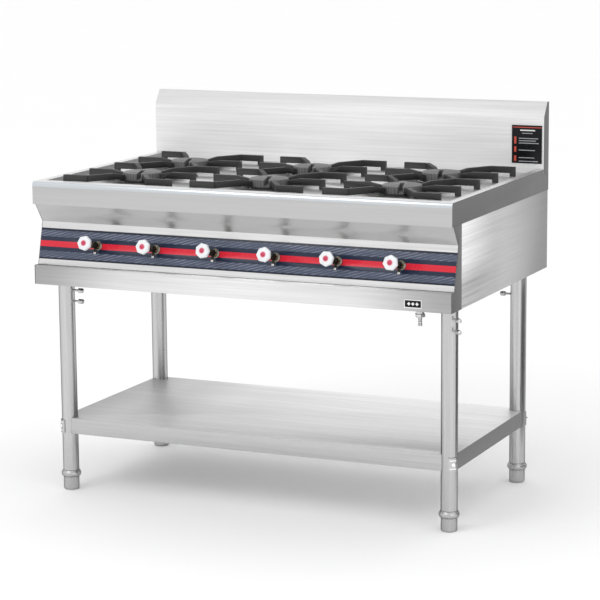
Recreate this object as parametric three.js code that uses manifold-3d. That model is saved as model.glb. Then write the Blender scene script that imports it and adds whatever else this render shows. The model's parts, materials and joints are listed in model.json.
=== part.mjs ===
// Free-standing six-burner gas range: a shallow stainless body with a sunken burner deck,
// three lift-off cast-iron grates, six needle valves with handwheels, and a leg frame with a shelf.
// Millimetres, +Z up, +X to the user's right, +Y to the back. The origin is on the floor,
// under the middle of the whole object's box.
import * as THREE from 'three';
import { mergeVertices } from 'three/addons/utils/BufferGeometryUtils.js';
import Module from 'manifold-3d';

const wasm = await Module();
wasm.setup();

// ---------- driving dimensions ----------
const gap = 0.3; // between pieces that touch
const sheet = 1.5; // sheet steel of the body
const width = 1200;
const depth = 762; // front of the apron to the back of the backsplash
const deckTop = 868;
const bodyBottom = 589;
const backsplashTop = 1052;
const columnPitch = 380.5; // from one grate to the next
const rowPitch = 287; // from the front burners to the back ones
const grateMiddle = 360; // the grates' middle line, behind the apron
const knobPitch = 174.5;
const legInset = 41.7; // leg axis from the side of the body
const legFront = 97; // leg axes behind the apron
const legBack = 637;
const shelfTop = 205;

// ---------- worked out from them ----------
const halfWidth = width / 2;
const wellDepth = 13;
const wellFloor = deckTop - wellDepth;
const apronBottom = deckTop - 61;
const backsplashFront = depth - 42;
const rimFront = 38;
const rimSide = 22;
const endCapDepth = 70; // the front box's end plates
const recessTop = [12, apronBottom - gap]; // [y, z] corners of the front, seen from the side
const panelTop = [48, apronBottom - 52];
const panelBottom = [20, apronBottom - 166];
const fasciaTop = panelBottom[1] - 3 * gap;
const columns = [-columnPitch, 0, columnPitch];
const rows = [grateMiddle - rowPitch / 2, grateMiddle + rowPitch / 2];
const burnerSpots = columns.flatMap((x) => rows.map((y) => [x, y]));
const valveShift = 15; // the valve row sits a little right of the middle
const valveX = burnerSpots.map((spot, i) => valveShift + (i - 2.5) * knobPitch);
const panelTilt = Math.atan2(panelTop[1] - panelBottom[1], panelTop[0] - panelBottom[0]);
const panelMid = [(panelTop[0] + panelBottom[0]) / 2, (panelTop[1] + panelBottom[1]) / 2];
const legX = halfWidth - legInset;
const legSpots = [[-legX, legFront], [legX, legFront], [-legX, legBack], [legX, legBack]];
const legNames = ['front_left', 'front_right', 'back_left', 'back_right'];
const legRadius = 22;
const legWall = 2;
const plugRadius = legRadius - legWall - 0.9; // what slides inside a leg tube
const footHeight = 55; // floor to the leg tube's end
const manifoldRadius = 14;
const manifoldReach = 52; // valve body behind the control panel

// ---------- materials ----------
const metal = (color, roughness, metalness = 1) =>
  new THREE.MeshStandardMaterial({ color, roughness, metalness });
const brushedSteel = () => metal(0xc9c9cb, 0.35);
const plainSteel = () => metal(0x8c8c8e, 0.5);
const castIron = () => metal(0x2f3031, 0.75, 0.4);
const burnerIron = () => metal(0x8e8e8c, 0.6, 0.7);
const brass = () => metal(0xb79a5c, 0.35);
const plastic = (color) => metal(color, 0.4, 0);

// ---------- solids ----------
function toSolid(geometry) {
  const bare = geometry.clone();
  bare.deleteAttribute('normal');
  bare.deleteAttribute('uv');
  const merged = mergeVertices(bare, 1e-4);
  return new wasm.Manifold(new wasm.Mesh({
    numProp: 3,
    vertProperties: new Float32Array(merged.attributes.position.array),
    triVerts: new Uint32Array(merged.index.array),
  }));
}

function toGeometry(solid) {
  const mesh = solid.getMesh();
  const geometry = new THREE.BufferGeometry();
  geometry.setAttribute('position', new THREE.BufferAttribute(mesh.vertProperties, 3));
  geometry.setIndex(new THREE.BufferAttribute(mesh.triVerts, 1));
  geometry.computeVertexNormals();
  return geometry;
}

const join = (pieces) => toGeometry(pieces.map(toSolid).reduce((a, b) => a.add(b)));
const cut = (base, tools) =>
  toGeometry(tools.map(toSolid).reduce((a, b) => a.subtract(b), toSolid(base)));

function box(x0, x1, y0, y1, z0, z1) {
  const shape = new THREE.BoxGeometry(x1 - x0, y1 - y0, z1 - z0);
  return shape.translate((x0 + x1) / 2, (y0 + y1) / 2, (z0 + z1) / 2);
}

// A round bar from one point to another.
function rod(radius, from, to, sides = 12) {
  const start = new THREE.Vector3(...from);
  const span = new THREE.Vector3(...to).sub(start);
  const shape = new THREE.CylinderGeometry(radius, radius, span.length(), sides);
  shape.translate(0, span.length() / 2, 0);
  const up = new THREE.Vector3(0, 1, 0);
  shape.applyQuaternion(new THREE.Quaternion().setFromUnitVectors(up, span.normalize()));
  return shape.translate(start.x, start.y, start.z);
}

// A turned piece: profile points are [radius, height], from the axis back to the axis.
function turned(profile, sides = 20) {
  const shape = new THREE.LatheGeometry(profile.map(([r, z]) => new THREE.Vector2(r, z)), sides);
  return shape.rotateX(Math.PI / 2);
}

// An outline of [x, y] points, thickened upwards from z0 to z1.
function slab(outline, z0, z1) {
  const shape = new THREE.Shape(outline.map(([x, y]) => new THREE.Vector2(x, y)));
  const solid = new THREE.ExtrudeGeometry(shape, { depth: z1 - z0, bevelEnabled: false });
  return solid.translate(0, 0, z0);
}

// An outline of [y, z] points seen from the side, running along X from x0 to x1.
function prism(outline, x0, x1) {
  const along = slab(outline, 0, x1 - x0);
  const turn = new THREE.Matrix4().makeBasis(
    new THREE.Vector3(0, 1, 0), new THREE.Vector3(0, 0, 1), new THREE.Vector3(1, 0, 0));
  return along.applyMatrix4(turn).translate(x0, 0, 0);
}

// Folded sheet: the line of the outer face as [y, z] points, with the metal on its left.
function foldedOutline(line, thickness) {
  const inner = line.map((point, i) => {
    const directions = [];
    if (i > 0) directions.push(new THREE.Vector2(...point).sub(new THREE.Vector2(...line[i - 1])));
    if (i < line.length - 1) {
      directions.push(new THREE.Vector2(...line[i + 1]).sub(new THREE.Vector2(...point)));
    }
    const normals = directions.map((d) => new THREE.Vector2(-d.y, d.x).normalize());
    const mean = normals.reduce((a, b) => a.clone().add(b)).normalize();
    const mitre = thickness / mean.dot(normals[0]);
    return [point[0] + mean.x * mitre, point[1] + mean.y * mitre];
  });
  return [...line, ...inner.reverse()];
}

const foldedSheet = (line, x0, x1) => prism(foldedOutline(line, sheet), x0, x1);

// ---------- the assembly ----------
const range = new THREE.Group();

function addPiece(name, geometry, material, parent = range) {
  const mesh = new THREE.Mesh(geometry, material);
  mesh.name = name;
  parent.add(mesh);
  return mesh;
}

// A group at a valve's hole, with local +Z straight out of the control panel.
function panelGroup(x) {
  const group = new THREE.Group();
  group.position.set(x, panelMid[0], panelMid[1]);
  group.rotation.x = panelTilt;
  range.add(group);
  return group;
}

// ---------- body ----------
const skirtInset = 1; // the side panels are set a little inside the deck's skirt
const sideFlange = 40; // turned-in bottom edges, which the chassis rests on
const fasciaFlange = 14;
const backFlange = 16;
const flangeClear = 2; // between the side panels' bottom edges and the back panel's
const stubHole = plugRadius + 1; // a flange's notch around the chassis stub in a leg
const burnerHole = 64; // radii
const pilotHole = 4.5;
const pilotOffset = [-60, -36]; // pilot tip from its burner's axis
const pilotSpots = burnerSpots.map(([x, y]) => [x + pilotOffset[0], y + pilotOffset[1]]);

function deckGeometry() {
  const noseDepth = 6; // the rolled front edge is part of an ellipse
  const noseHeight = 13;
  const noseSteps = 5;
  const nose = Array.from({ length: noseSteps + 1 }, (unused, i) => {
    const angle = (i / noseSteps) * Math.PI / 2;
    return [noseDepth * (1 - Math.cos(angle)), deckTop - noseHeight * (1 - Math.sin(angle))];
  });
  const rimBack = backsplashFront - 2; // the back ledge, which the backsplash stands on, is lower
  const outer = prism([[0, apronBottom], ...nose, [rimBack, deckTop], [rimBack, wellFloor],
    [depth, wellFloor], [depth, apronBottom]].reverse(), -halfWidth, halfWidth);
  const inside = halfWidth - sheet;
  const wellSide = halfWidth - rimSide;
  const well = box(-wellSide, wellSide, rimFront, depth + 1, wellFloor, deckTop + 1);
  const underWell = box(-wellSide - sheet, wellSide + sheet, rimFront - sheet, depth,
    wellFloor - sheet, deckTop);
  const underBack = box(-inside, inside, rimBack - sheet, depth, wellFloor - sheet, deckTop);
  const noseClear = noseDepth + sheet;
  const hollow = cut(join([
    box(-inside, inside, sheet, depth - sheet, apronBottom - 1, wellFloor - sheet),
    box(-inside, inside, noseClear, depth - sheet, wellFloor - 2 * sheet, deckTop - sheet)]),
  [underWell, underBack]);
  const through = (radius, sides) => ([x, y]) =>
    rod(radius, [x, y, wellFloor - 5], [x, y, wellFloor + 5], sides);
  const holes = burnerSpots.map(through(burnerHole, 20));
  const pilotHoles = pilotSpots.map(through(pilotHole, 8));
  const shell = cut(outer, [well, hollow, ...holes, ...pilotHoles]);
  const overlap = 0.5; // into the skirt, so that the two join
  const flange = box(-inside - overlap, inside + overlap, sheet / 2, recessTop[0], apronBottom,
    apronBottom + sheet);
  return join([shell, flange]);
}

// A box of sheet with an upright front, a slope above the crease, and no bottom.
function backsplashGeometry() {
  const crease = backsplashTop - 40;
  const flatTop = 15;
  const mitre = 0.3 * sheet; // what the slope adds to the inside's corners
  const outline = (inset, mitred, base) => [
    [backsplashFront + inset, base],
    [depth - inset, base],
    [depth - inset, backsplashTop - inset],
    [depth - flatTop + mitred, backsplashTop - inset],
    [backsplashFront + inset, crease - mitred]];
  return cut(prism(outline(0, 0, wellFloor + gap), -halfWidth, halfWidth),
    [prism(outline(sheet, mitre, wellFloor - 1), -halfWidth + sheet, halfWidth - sheet)]);
}

function sidePanelGeometry(side) {
  const outer = halfWidth - skirtInset;
  const inner = outer - sheet;
  const top = apronBottom - gap;
  const plate = box(inner, outer, endCapDepth + gap, depth - sheet - gap, bodyBottom, top);
  const foot = box(outer - sideFlange, inner + 0.1, endCapDepth + gap, depth - sheet - gap,
    bodyBottom, bodyBottom + sheet);
  const notches = [legFront, legBack].map((y) =>
    rod(stubHole, [legX, y, bodyBottom - 1], [legX, y, bodyBottom + 3], 16));
  const panel = cut(join([plate, foot]), notches);
  return side > 0 ? panel : mirrored(panel);
}

// The same piece on the other side of the middle plane.
function mirrored(geometry) {
  const copy = geometry.clone().scale(-1, 1, 1);
  const index = copy.index.array;
  for (let i = 0; i < index.length; i += 3) [index[i], index[i + 1]] = [index[i + 1], index[i]];
  copy.computeVertexNormals();
  return copy;
}

function endCapGeometry(side) {
  const outline = [recessTop, panelTop, panelBottom, [0, panelBottom[1]], [0, bodyBottom],
    [endCapDepth, bodyBottom], [endCapDepth, recessTop[1]]];
  return side > 0
    ? prism(outline, halfWidth - sheet, halfWidth)
    : prism(outline, -halfWidth, -halfWidth + sheet);
}

const valveHole = 10;
const panelSlope = new THREE.Matrix4().makeRotationX(panelTilt);

// The [y, z] of a point on a valve: so far up the control panel's slope, and so far out of it.
function panelPoint(up, out) {
  const point = new THREE.Vector3(0, up, out).applyMatrix4(panelSlope);
  return [panelMid[0] + point.y, panelMid[1] + point.z];
}

const insideCaps = halfWidth - sheet - gap;

// Holes through the front for the valves, wide enough for the sheet's slope.
function valveHoles(radius) {
  return valveX.map((x) => rod(radius, [0, 0, -20], [0, 0, 20], 10)
    .applyMatrix4(panelSlope).translate(x, panelMid[0], panelMid[1]));
}

function controlPanelGeometry() {
  const line = [recessTop, panelTop, panelBottom];
  return cut(foldedSheet(line, -insideCaps, insideCaps), valveHoles(valveHole));
}

function overlayGeometry() {
  const halfHeight = 42;
  const thickness = 0.6;
  const centreShift = 1.5; // the overlay sits a little below the middle of the panel
  const strip = box(-insideCaps, insideCaps, -halfHeight - centreShift, halfHeight - centreShift,
    gap, gap + thickness);
  strip.applyMatrix4(panelSlope).translate(0, panelMid[0], panelMid[1]);
  return cut(strip, valveHoles(valveHole));
}

function fasciaGeometry() {
  const topFlange = 34;
  const line = [[topFlange, fasciaTop], [0, fasciaTop], [0, bodyBottom], [fasciaFlange, bodyBottom]];
  return foldedSheet(line, -insideCaps, insideCaps);
}

function backPanelGeometry() {
  const side = halfWidth - 2;
  const footSide = halfWidth - skirtInset - sideFlange - flangeClear;
  const plate = box(-side, side, depth - sheet, depth, bodyBottom, apronBottom - gap);
  const foot = box(-footSide, footSide, depth - backFlange, depth - sheet + 0.1,
    bodyBottom, bodyBottom + sheet);
  return join([plate, foot]);
}

addPiece('deck_top', deckGeometry(), brushedSteel());
addPiece('backsplash', backsplashGeometry(), brushedSteel());
addPiece('left_side_panel', sidePanelGeometry(-1), brushedSteel());
addPiece('right_side_panel', sidePanelGeometry(1), brushedSteel());
addPiece('left_end_cap', endCapGeometry(-1), plainSteel());
addPiece('right_end_cap', endCapGeometry(1), plainSteel());
addPiece('control_panel', controlPanelGeometry(), brushedSteel());
addPiece('control_overlay', overlayGeometry(), plastic(0x2a3248));
addPiece('lower_fascia', fasciaGeometry(), brushedSteel());
addPiece('back_panel', backPanelGeometry(), brushedSteel());

// ---------- plates on the outside ----------
const plateThickness = 0.8;
const noticeSize = [90, 109];
const noticeRight = halfWidth - 4;
const noticeBottom = wellFloor + 26;
addPiece('notice_plate', box(noticeRight - noticeSize[0], noticeRight,
  backsplashFront - gap - plateThickness, backsplashFront - gap,
  noticeBottom, noticeBottom + noticeSize[1]), plastic(0x1b1b1f));
const badgeSize = [48, 22];
const badgeLeft = 472;
const badgeBottom = bodyBottom + 8;
addPiece('badge_plate', box(badgeLeft, badgeLeft + badgeSize[0], -gap - plateThickness, -gap,
  badgeBottom, badgeBottom + badgeSize[1]), plastic(0x24262b));

// ---------- chassis ----------
const railBottom = bodyBottom + sheet + gap; // the rails lie on the panels' bottom edges
const burnerBarTop = 781.7;

function chassisGeometry() {
  const angle = 30;
  const angleThickness = 3;
  const railTop = railBottom + angle;
  const railFront = sheet + gap;
  const railBack = depth - sheet - gap;
  const behindLeg = legRadius; // the cross rails run just behind the leg axes
  const sideRails = [-1, 1].flatMap((side) => {
    const inner = side * (legX - angle / 2);
    const outer = side * (legX + angle / 2);
    const wall = outer - side * angleThickness;
    return [
      box(Math.min(inner, outer), Math.max(inner, outer), railFront, railBack, railBottom,
        railBottom + angleThickness),
      box(Math.min(wall, outer), Math.max(wall, outer), railFront, railBack, railBottom, railTop)];
  });
  const crossRails = [legFront + behindLeg, legBack + behindLeg].flatMap((y) => [
    box(-legX, legX, y, y + angle, railBottom, railBottom + angleThickness),
    box(-legX, legX, y, y + angleThickness, railBottom, railTop)]);
  const crossBarWidth = 30;
  const crossBarThickness = 4;
  const uprightX = legX + angle / 2 - angleThickness;
  const halfBar = crossBarThickness / 2;
  const burnerBars = rows.flatMap((y) => {
    const strip = (x0, x1, bottom) =>
      box(x0, x1, y - crossBarWidth / 2, y + crossBarWidth / 2, bottom, burnerBarTop);
    return [strip(-uprightX, uprightX, burnerBarTop - crossBarThickness),
      strip(-uprightX - halfBar, -uprightX + halfBar, railBottom),
      strip(uprightX - halfBar, uprightX + halfBar, railBottom)];
  });
  const stubLength = 90; // down into each leg
  const stubs = legSpots.map(([x, y]) =>
    rod(plugRadius, [x, y, bodyBottom - stubLength], [x, y, railBottom + angleThickness], 14));
  return join([...sideRails, ...crossRails, ...burnerBars, ...stubs]);
}

addPiece('chassis', chassisGeometry(), plainSteel());

// ---------- burners ----------
const crownRadius = 53;
const crownTop = wellFloor + 24;
const seatRadius = 34; // where the bowl stands on its bar
const bowlRadius = 46;
const bowlTaper = 26; // height over which the bowl widens
const slotAngle = THREE.MathUtils.degToRad(17);
const jetDepth = 38; // where a valve's jet leaves it, behind the control panel
const jetLength = 24;
const mouthGap = 10; // from a jet's end to the middle of its burner's mouth

function burnerGeometry([x, y], mouthX) {
  const seat = burnerBarTop + gap;
  const bowl = turned([[0, seat], [seatRadius, seat], [bowlRadius, seat + bowlTaper],
    [bowlRadius, wellFloor - 8], [crownRadius, wellFloor + 2], [crownRadius, crownTop - 3],
    [crownRadius - 3, crownTop], [0, crownTop]], 18).translate(x, y, 0);
  const slotWidth = 12;
  const slotDepth = 17;
  const slot = box(-slotWidth / 2, slotWidth / 2, -crownRadius - 17, 20,
    crownTop - slotDepth, crownTop + 5).rotateZ(slotAngle).translate(x, y, 0);
  const isFront = y < rows[1];
  const [jetY, jetZ] = panelPoint(jetLength, -jetDepth);
  const mouth = [mouthX, jetY, jetZ + mouthGap];
  const neck = [x, y - 40, seat + bowlTaper];
  // the mixing tube's route to the bowl, which for a back burner runs below the front one
  const way = isFront
    ? [mouth, [mouthX, jetY + 6, 762], [(mouthX + x) / 2, 122, 798], [x, y - 60, neck[2]], neck]
    : [mouth, [mouthX, jetY + 14, 750], [mouthX, 180, 756], [mouthX, 300, 758],
      [(mouthX + x) / 2, 380, 780], [x, y - 62, neck[2]], neck];
  const route = new THREE.CatmullRomCurve3(way.map((point) => new THREE.Vector3(...point)));
  const section = new THREE.Shape();
  section.absarc(0, 0, 13, 0, Math.PI * 2);
  const tube = new THREE.ExtrudeGeometry(section,
    { steps: isFront ? 6 : 9, curveSegments: 3, extrudePath: route, bevelEnabled: false });
  return join([cut(bowl, [slot]), tube]);
}

burnerSpots.forEach((spot, i) => {
  addPiece(`burner_${i + 1}`, burnerGeometry(spot, valveX[i]), burnerIron());
});

// ---------- grates ----------
const grateWidth = 323.5;
const barWidth = 12;
const barHeight = 17;
const grateTop = wellFloor + 26;
const barBottom = grateTop - barHeight;
const ringInner = 56;
const ringOuter = 62;
const ringBottom = wellFloor + 1;
const ringTop = wellFloor + 5;
const armReach = 57; // how near an arm comes to its burner's axis
const bendX = 93; // where a dog-leg arm turns towards its burner
const grateFoot = 14;

// An arm along the line from "out" to "tip", whose last stretch slopes down to the ring.
function armGeometry(out, tip) {
  const slope = 34;
  const tipDrop = 6.5;
  const heel = 16; // the part of the arm that comes down on the ring
  const length = Math.hypot(tip[0] - out[0], tip[1] - out[1]);
  const slopeStart = Math.max(length - slope, 0);
  const side = [[0, barBottom], [0, grateTop], [slopeStart, grateTop],
    [length, grateTop - tipDrop], [length, ringBottom + 2], [length - heel, barBottom]];
  const solid = prism(side, -barWidth / 2, barWidth / 2);
  const turn = Math.atan2(tip[1] - out[1], tip[0] - out[0]) - Math.PI / 2;
  return solid.rotateZ(turn).translate(out[0], out[1], 0);
}

// The straight outer part of an arm, with the small foot that stands in the well.
function outerBars(side, y, innerX) {
  const outX = side * grateWidth / 2;
  const footX = outX - side * grateFoot;
  const span = (a, b, z0, z1) =>
    box(Math.min(a, b), Math.max(a, b), y - barWidth / 2, y + barWidth / 2, z0, z1);
  return [span(outX, side * innerX, barBottom, grateTop),
    span(outX, footX, wellFloor + gap, barBottom + 1)];
}

function grateGeometry(centreX) {
  const pieces = [];
  const rise = rowPitch / 2;
  for (const y of rows) {
    pieces.push(turned([[ringInner, ringBottom], [ringOuter, ringBottom], [ringOuter, ringTop],
      [ringInner, ringTop], [ringInner, ringBottom]], 16).translate(0, y, 0));
  }
  const far = Math.hypot(bendX, rise);
  const toRing = (side, y, lift) =>
    armGeometry([side * bendX, y + lift], [side * bendX * armReach / far, y + lift * armReach / far]);
  for (const side of [-1, 1]) {
    pieces.push(...outerBars(side, rows[0] - rise, bendX - 4));
    pieces.push(...outerBars(side, grateMiddle, bendX - 4));
    pieces.push(...outerBars(side, rows[1] + rise, bendX - 4));
    for (const y of rows) {
      pieces.push(...outerBars(side, y, bendX));
      pieces.push(armGeometry([side * (bendX + 1), y], [side * armReach, y]));
      pieces.push(toRing(side, y, -rise), toRing(side, y, rise));
    }
  }
  return join(pieces).translate(centreX, 0, 0);
}

['left', 'centre', 'right'].forEach((name, i) => {
  addPiece(`grate_${name}`, grateGeometry(columns[i]), castIron());
});

// ---------- gas pipes ----------
const bossLength = 4; // from the manifold's wall to a valve

const valvePort = panelPoint(0, -manifoldReach - gap);
const [manifoldY, manifoldZ] =
  panelPoint(0, -manifoldReach - gap - bossLength - manifoldRadius);

function manifoldGeometry() {
  const capEnd = 528;
  const capLength = 24;
  const capStart = capEnd - capLength;
  const bossRadius = 10;
  const along = (radius, from, to, sides) =>
    rod(radius, [from, manifoldY, manifoldZ], [to, manifoldY, manifoldZ], sides);
  const pipe = along(manifoldRadius, -capStart - 1, capStart + 1, 14);
  const caps = [-1, 1].map((side) =>
    along(manifoldRadius + 3, side * capStart, side * capEnd, 8));
  const bosses = valveX.map((x) =>
    rod(bossRadius, [x, manifoldY, manifoldZ], [x, ...valvePort], 8));
  return join([pipe, ...caps, ...bosses]);
}

function inletGeometry() {
  const [x, y] = [476, 101];
  const pipeRadius = 10.5;
  const nutRadius = 14;
  const nutTop = bodyBottom - 24;
  const nutBottom = nutTop - 9;
  const pipeTop = manifoldZ - manifoldRadius - 2 * gap;
  const pipe = rod(pipeRadius, [x, y, nutTop - 2], [x, y, pipeTop]);
  const nut = rod(nutRadius, [x, y, nutBottom], [x, y, nutTop], 6);
  const barbPitch = 6.7;
  const neck = 4; // plain length between the nut and the barbs
  const neckRadius = 5;
  const tip = nutBottom - neck - 3 * barbPitch;
  const barbs = [0, 1, 2].flatMap((k) => {
    const root = tip + k * barbPitch;
    return [[4.6, root], [5.8, root + barbPitch - 0.1]];
  });
  const nozzle = turned([[0, tip], ...barbs, [neckRadius, nutBottom - neck],
    [neckRadius, nutBottom + 4], [0, nutBottom + 4]], 12).translate(x, y, 0);
  return join([pipe, nut, nozzle]);
}

function pilotRailGeometry() {
  const pipeRadius = 4;
  const railY = 122;
  const railZ = wellFloor - 12;
  const dropX = -500;
  const tipTop = wellFloor + 5;
  const tipRadius = 3.2;
  const branchX = columns.map((x) => x + pilotOffset[0]);
  const rail = rod(pipeRadius, [dropX - pipeRadius, railY, railZ],
    [branchX[2] + pipeRadius, railY, railZ], 6);
  const drop = rod(pipeRadius, [dropX, manifoldY, manifoldZ + manifoldRadius + gap],
    [dropX, manifoldY, railZ], 6);
  const elbow = rod(pipeRadius, [dropX, manifoldY - pipeRadius, railZ], [dropX, railY, railZ], 6);
  const branches = branchX.map((x) => rod(pipeRadius, [x, railY, railZ],
    [x, rows[1] + pilotOffset[1] + pipeRadius, railZ], 6));
  const risers = pilotSpots.map(([x, y]) => rod(tipRadius, [x, y, railZ], [x, y, tipTop], 8));
  return join([rail, drop, elbow, ...branches, ...risers]);
}

addPiece('gas_manifold', manifoldGeometry(), plainSteel());
addPiece('gas_inlet', inletGeometry(), brass());
addPiece('pilot_rail', pilotRailGeometry(), plainSteel());

// ---------- valves and handwheels ----------
const glandEnd = 34; // out from the control panel
const knobBack = 67;
const knobThickness = 15;
const knobRadius = 20.2; // at the rim's points
const scallopDepth = 1.9;
const knobTurns = [26, 23, 1, 30, 12, 36]; // the degrees each wheel stands at when shut
const stemRadius = 4;

// A valve, seen along its own axis: negative is behind the control panel.
function valveGeometry() {
  const stretch = (radius, from, to, sides) => rod(radius, [0, 0, from], [0, 0, to], sides);
  const body = stretch(9, -manifoldReach, 8, 10);
  const lockNut = stretch(14, -14, -3, 6);
  const flange = turned([[0, 1.4], [13, 1.4], [13, 4], [10, 6.5], [0, 6.5]], 14);
  const bonnet = stretch(7.5, 5, 26, 10);
  const gland = stretch(9.5, glandEnd - 12, glandEnd, 6);
  const nipple = rod(3.5, [0, 0, 14], [0, -24, 15], 6);
  const jet = rod(5, [0, 0, -jetDepth], [0, jetLength, -jetDepth], 6);
  const stemHole = stretch(stemRadius + 0.6, glandEnd - 10, glandEnd + 1, 8);
  return cut(join([body, lockNut, flange, bonnet, gland, nipple, jet]), [stemHole]);
}

// A wheel whose rim is seven shallow scallops.
function knobGeometry() {
  const scallops = 7;
  const steps = scallops * 4;
  const outline = Array.from({ length: steps }, (unused, i) => {
    const angle = (i / steps) * Math.PI * 2;
    const radius = knobRadius - scallopDepth * Math.abs(Math.sin(scallops * angle / 2));
    return [radius * Math.cos(angle), radius * Math.sin(angle)];
  });
  const wheel = slab(outline, knobBack + 3, knobBack + knobThickness);
  const hub = turned([[0, knobBack - 9], [8, knobBack - 9], [11, knobBack + 3.5],
    [0, knobBack + 3.5]], 12);
  const stem = rod(stemRadius, [0, 0, glandEnd - 9], [0, 0, knobBack], 10);
  return join([wheel, hub, stem]);
}

const valveShape = valveGeometry();
const knobShape = knobGeometry();
valveX.forEach((x, i) => {
  const group = panelGroup(x);
  addPiece(`valve_${i + 1}`, valveShape, brass(), group);
  const knob = addPiece(`knob_${i + 1}`, knobShape, plastic(0xf2f2f0), group);
  knob.rotation.z = THREE.MathUtils.degToRad(knobTurns[i]);
});

// ---------- legs, feet, shelf ----------
const screwHeights = [bodyBottom - 29, bodyBottom - 59];
const screwTurns = [0, -40, 0, 180].map(THREE.MathUtils.degToRad); // where each leg's screws face
const screwReach = 31; // screw head's end from the leg's surface

function legGeometry(screwTurn) {
  const sides = 20;
  const screwHole = 3.6;
  const tube = cut(rod(legRadius, [0, 0, footHeight], [0, 0, bodyBottom - gap], sides),
    [rod(legRadius - legWall, [0, 0, footHeight - 1], [0, 0, bodyBottom + 1], sides)]);
  const holes = screwHeights.map((z) => rod(screwHole, [0, 0, z], [legRadius + 2, 0, z], 8)
    .rotateZ(screwTurn));
  return cut(tube, holes);
}

function footGeometry() {
  const soleRadius = 18;
  const shankRadius = 21.5;
  const collarRadius = 27;
  const collarTop = footHeight - gap;
  const plugTop = footHeight + 50;
  return turned([[0, 0], [soleRadius, 0], [shankRadius, 4], [shankRadius, 35],
    [collarRadius, 40], [collarRadius, 49], [shankRadius + 2, collarTop],
    [plugRadius, collarTop], [plugRadius, plugTop], [0, plugTop]], 14);
}

function thumbScrewGeometry() {
  const shank = 3;
  const headRadius = 6.5;
  const tip = plugRadius + gap;
  const head = legRadius + screwReach;
  const profile = [[0, tip], [shank, tip], [shank, head - 17], [headRadius, head - 15],
    [headRadius, head - 3], [headRadius - 2, head], [0, head]];
  return turned(profile, 10).rotateY(Math.PI / 2);
}

const clampHeight = 36;
const clampTop = shelfTop - 7;

// A saddle on a leg's outer corner, with the bolt that draws the shelf's corner against it.
function clampGeometry() {
  const saddleArc = THREE.MathUtils.degToRad(70);
  const inner = legRadius + gap;
  const outer = inner + 2.5;
  const arc = (radius, from, to) => Array.from({ length: 7 }, (unused, i) => {
    const angle = from + (to - from) * i / 6;
    return [radius * Math.cos(angle), radius * Math.sin(angle)];
  });
  const saddle = slab([...arc(outer, -saddleArc / 2, saddleArc / 2),
    ...arc(inner, saddleArc / 2, -saddleArc / 2)], clampTop - clampHeight, clampTop);
  const boltZ = clampTop - clampHeight / 2;
  const boltRadius = 6.5;
  const bolt = rod(boltRadius, [outer - 1.5, 0, boltZ], [outer + 5, 0, boltZ], 8);
  return join([saddle, bolt]);
}

const shelfSide = legX + 18;
const shelfFront = legFront - 18;
const shelfBack = legBack + 18;
const shelfSkirt = 44;

function shelfGeometry() {
  const bottom = shelfTop - shelfSkirt;
  const tray = cut(box(-shelfSide, shelfSide, shelfFront, shelfBack, bottom, shelfTop),
    [box(-shelfSide + sheet, shelfSide - sheet, shelfFront + sheet, shelfBack - sheet,
      bottom - 1, shelfTop - sheet)]);
  const notches = legSpots.flatMap(([x, y]) => {
    const outX = Math.sign(x) * (shelfSide + 1);
    const outY = y < depth / 2 ? shelfFront - 1 : shelfBack + 1;
    const clear = legRadius + gap + 0.5;
    return [
      rod(clear, [x, y, bottom - 5], [x, y, shelfTop + 5], 20),
      box(Math.min(x, outX), Math.max(x, outX), Math.min(y, outY), Math.max(y, outY),
        bottom - 5, shelfTop + 5)];
  });
  return cut(tray, notches);
}

legSpots.forEach(([x, y], i) => {
  const group = new THREE.Group();
  group.position.set(x, y, 0);
  range.add(group);
  addPiece(`leg_${legNames[i]}`, legGeometry(screwTurns[i]), brushedSteel(), group);
  addPiece(`foot_${legNames[i]}`, footGeometry(), plainSteel(), group);
  screwHeights.forEach((z, k) => {
    const screw = addPiece(`thumb_screw_${legNames[i]}_${k + 1}`, thumbScrewGeometry(),
      plainSteel(), group);
    screw.rotation.z = screwTurns[i];
    screw.position.z = z;
  });
  const clamp = addPiece(`shelf_clamp_${legNames[i]}`, clampGeometry(), plainSteel(), group);
  clamp.rotation.z = Math.atan2(y < depth / 2 ? -1 : 1, Math.sign(x));
});
addPiece('shelf', shelfGeometry(), brushedSteel());

// ---------- the origin: on the floor, under the middle of the object's box ----------
range.updateMatrixWorld(true);
const extent = new THREE.Box3().setFromObject(range);
range.position.y = -(extent.min.y + extent.max.y) / 2;

export default range;
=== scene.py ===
"""Looks for a six-burner stainless gas range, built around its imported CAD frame.

Metres, in the frame's own axes: +X to the user's right, +Y to the back, +Z up, origin on the floor.
"""

import json
import math

import bmesh
import bpy
from mathutils import Matrix, Vector


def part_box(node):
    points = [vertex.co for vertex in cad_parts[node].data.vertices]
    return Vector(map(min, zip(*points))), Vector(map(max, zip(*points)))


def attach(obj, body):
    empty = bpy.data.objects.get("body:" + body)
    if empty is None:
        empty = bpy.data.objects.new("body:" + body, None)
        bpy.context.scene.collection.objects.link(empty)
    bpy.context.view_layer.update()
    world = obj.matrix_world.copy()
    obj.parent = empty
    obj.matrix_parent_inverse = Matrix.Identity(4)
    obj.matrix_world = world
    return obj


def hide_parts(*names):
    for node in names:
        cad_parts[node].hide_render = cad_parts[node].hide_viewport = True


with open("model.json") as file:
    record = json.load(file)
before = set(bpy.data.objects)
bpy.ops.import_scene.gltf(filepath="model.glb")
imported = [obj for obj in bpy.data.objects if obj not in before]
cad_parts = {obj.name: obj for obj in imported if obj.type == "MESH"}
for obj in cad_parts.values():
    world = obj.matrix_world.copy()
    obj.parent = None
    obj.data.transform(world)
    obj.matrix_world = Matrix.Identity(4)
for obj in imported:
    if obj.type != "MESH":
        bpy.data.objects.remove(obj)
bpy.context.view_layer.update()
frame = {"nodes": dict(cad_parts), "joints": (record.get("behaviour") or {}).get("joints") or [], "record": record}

MM = 0.001
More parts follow.
